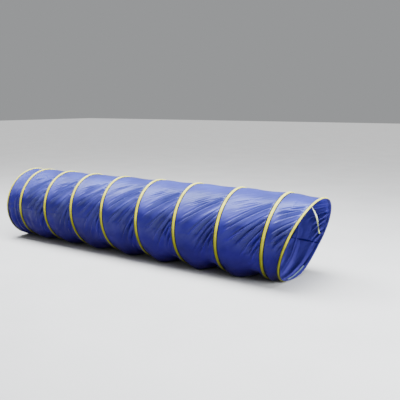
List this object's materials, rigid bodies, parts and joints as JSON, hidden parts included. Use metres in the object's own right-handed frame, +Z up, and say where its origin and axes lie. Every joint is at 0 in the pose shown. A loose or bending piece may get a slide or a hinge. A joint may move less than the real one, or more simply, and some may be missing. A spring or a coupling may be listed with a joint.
{
  "type": "agility tunnel",
  "caption": "Pop-up crawl tunnel of thin nylon bays stitched between round spring-steel hoops in padded tape casings, open right through, with tie straps on the front hoop.",
  "frame": {"origin": "on the floor, below the middle of the tunnel's overall length and width", "axes": "+X along the tunnel towards its front hoop, +Y to the side away from the upper tie strap, +Z up"},
  "size_m": [2.5923, 0.56, 0.5546],
  "materials": {
    "casing": "matte",
    "wire": "satin",
    "sleeve": "satin",
    "panel": "satin",
    "ribbon": "matte"
  },
  "bodies": {
    "hoop_6": {"hoop_casing_6": "casing", "wire_hoop_6": "wire", "crimp_sleeve_6": "sleeve"},
    "hoop_5": {"hoop_casing_5": "casing", "wire_hoop_5": "wire", "crimp_sleeve_5": "sleeve", "fabric_panel_5": "panel"},
    "hoop_4": {"hoop_casing_4": "casing", "wire_hoop_4": "wire", "crimp_sleeve_4": "sleeve", "fabric_panel_4": "panel"},
    "hoop_3": {"hoop_casing_3": "casing", "wire_hoop_3": "wire", "crimp_sleeve_3": "sleeve", "fabric_panel_3": "panel"},
    "hoop_2": {"hoop_casing_2": "casing", "wire_hoop_2": "wire", "crimp_sleeve_2": "sleeve", "fabric_panel_2": "panel"},
    "rear_bay": {"fabric_panel_1": "panel"},
    "rear_hoop": {"hoop_casing_1": "casing", "wire_hoop_1": "wire", "crimp_sleeve_1": "sleeve"},
    "hoop_7": {"hoop_casing_7": "casing", "wire_hoop_7": "wire", "crimp_sleeve_7": "sleeve", "fabric_panel_6": "panel"},
    "hoop_8": {"hoop_casing_8": "casing", "wire_hoop_8": "wire", "crimp_sleeve_8": "sleeve", "fabric_panel_7": "panel"},
    "hoop_9": {"hoop_casing_9": "casing", "wire_hoop_9": "wire", "crimp_sleeve_9": "sleeve", "fabric_panel_8": "panel"},
    "front_bay": {"fabric_panel_9": "panel"},
    "front_hoop": {"hoop_casing_10": "casing", "wire_hoop_10": "wire", "crimp_sleeve_10": "sleeve"},
    "upper_tie": {"tie_strap_upper": "ribbon"},
    "lower_tie": {"tie_strap_lower": "ribbon"}
  },
  "joints": [
    {"name": "tunnel_fold", "type": "slide", "parent": "hoop_6", "child": "hoop_5", "axis": [1, 0, 0], "range_m": [0, 0.267], "deforming": ["fabric_panel_5"]},
    {"name": "bay_4_fold", "type": "slide", "parent": "hoop_5", "child": "hoop_4", "axis": [1, 0, 0], "range_m": [0, 0.267], "deforming": ["fabric_panel_4"]},
    {"name": "bay_3_fold", "type": "slide", "parent": "hoop_4", "child": "hoop_3", "axis": [1, 0, 0], "range_m": [0, 0.2323], "deforming": ["fabric_panel_3"]},
    {"name": "bay_2_fold", "type": "slide", "parent": "hoop_3", "child": "hoop_2", "axis": [1, 0, 0], "range_m": [0, 0.2323], "deforming": ["fabric_panel_2"]},
    {"name": "rear_bay_fold", "type": "slide", "parent": "hoop_2", "child": "rear_bay", "axis": [1, 0, 0], "range_m": [0, 0.1068], "deforming": ["fabric_panel_1"]},
    {"name": "bay_6_fold", "type": "slide", "parent": "hoop_6", "child": "hoop_7", "axis": [-1, 0, 0], "range_m": [0, 0.267], "deforming": ["fabric_panel_6"]},
    {"name": "bay_7_fold", "type": "slide", "parent": "hoop_7", "child": "hoop_8", "axis": [-1, 0, 0], "range_m": [0, 0.267], "deforming": ["fabric_panel_7"]},
    {"name": "bay_8_fold", "type": "slide", "parent": "hoop_8", "child": "hoop_9", "axis": [-1, 0, 0], "range_m": [0, 0.267], "deforming": ["fabric_panel_8"]},
    {"name": "front_bay_fold", "type": "slide", "parent": "hoop_9", "child": "front_bay", "axis": [-1, 0, 0], "range_m": [0, 0.0454], "deforming": ["fabric_panel_9"]},
    {"name": "rear_hoop_tilt", "type": "hinge", "parent": "rear_bay", "child": "rear_hoop", "pos_m": [-1.2887, 0, 0], "axis": [0, 1, 0], "range_deg": [-15, 0], "deforming": ["fabric_panel_1"]},
    {"name": "front_hoop_tilt", "type": "hinge", "parent": "front_bay", "child": "front_hoop", "pos_m": [1.0566, 0, 0], "axis": [0.0819, 0.9966, 0], "range_deg": [-11, 12], "deforming": ["fabric_panel_9"]},
    {"name": "upper_tie_swing", "type": "hinge", "parent": "front_hoop", "child": "upper_tie", "pos_m": [1.2424, -0.13703, 0.50105], "axis": [0.0819, 0.9966, 0], "range_deg": [-60, 10]},
    {"name": "lower_tie_swing", "type": "hinge", "parent": "front_hoop", "child": "lower_tie", "pos_m": [1.09275, 0.15193, 0.05679], "axis": [0.2227, -0.6414, 0.7342], "range_deg": [0, 75]}
  ],
  "couplings": [
    {"joint": "bay_4_fold", "follows": "tunnel_fold", "ratio": 1},
    {"joint": "bay_3_fold", "follows": "tunnel_fold", "ratio": 0.87},
    {"joint": "bay_2_fold", "follows": "tunnel_fold", "ratio": 0.87},
    {"joint": "rear_bay_fold", "follows": "tunnel_fold", "ratio": 0.4},
    {"joint": "bay_6_fold", "follows": "tunnel_fold", "ratio": 1},
    {"joint": "bay_7_fold", "follows": "tunnel_fold", "ratio": 1},
    {"joint": "bay_8_fold", "follows": "tunnel_fold", "ratio": 1},
    {"joint": "front_bay_fold", "follows": "tunnel_fold", "ratio": 0.17}
  ]
}
